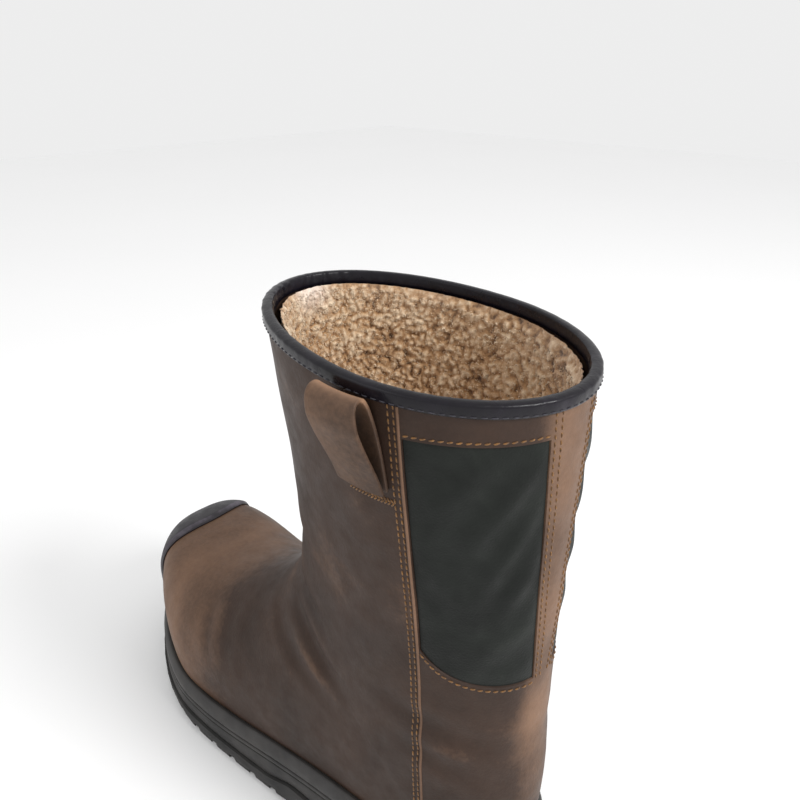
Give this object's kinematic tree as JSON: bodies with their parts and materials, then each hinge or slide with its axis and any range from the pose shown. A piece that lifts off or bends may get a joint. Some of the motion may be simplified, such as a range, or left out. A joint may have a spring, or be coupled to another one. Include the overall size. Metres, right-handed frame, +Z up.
{
  "type": "pull-on safety boot",
  "caption": "Left pull-on safety boot with a tall leather shaft, rolled collar binding, pull loops, soft side panels, toe scuff cap and a lugged sole with a heel.",
  "frame": {"origin": "on the floor, under the middle of the heel", "axes": "+X to the toe, +Y to the wearer's left, which is the outer side, +Z up"},
  "size_m": [0.31, 0.1386, 0.2878],
  "materials": {
    "outsole": "matt moulded black rubber",
    "midsole": "matt moulded dark grey foam rubber",
    "insole": "soft beige fabric",
    "upper": "oiled dark brown, slightly waxy",
    "panel": "soft matt black, fine grain",
    "toe_cap": "black, satin",
    "binding": "soft satin, dark blue black",
    "loop": "oiled dark brown strap"
  },
  "bodies": {
    "root": {"outsole": "outsole", "midsole": "midsole", "insole": "insole", "upper": "upper", "side_panel_left": "panel", "side_panel_right": "panel", "toe_cap": "toe_cap", "collar_binding": "binding", "pull_loop_left": "loop", "pull_loop_right": "loop"}
  },
  "joints": []
}
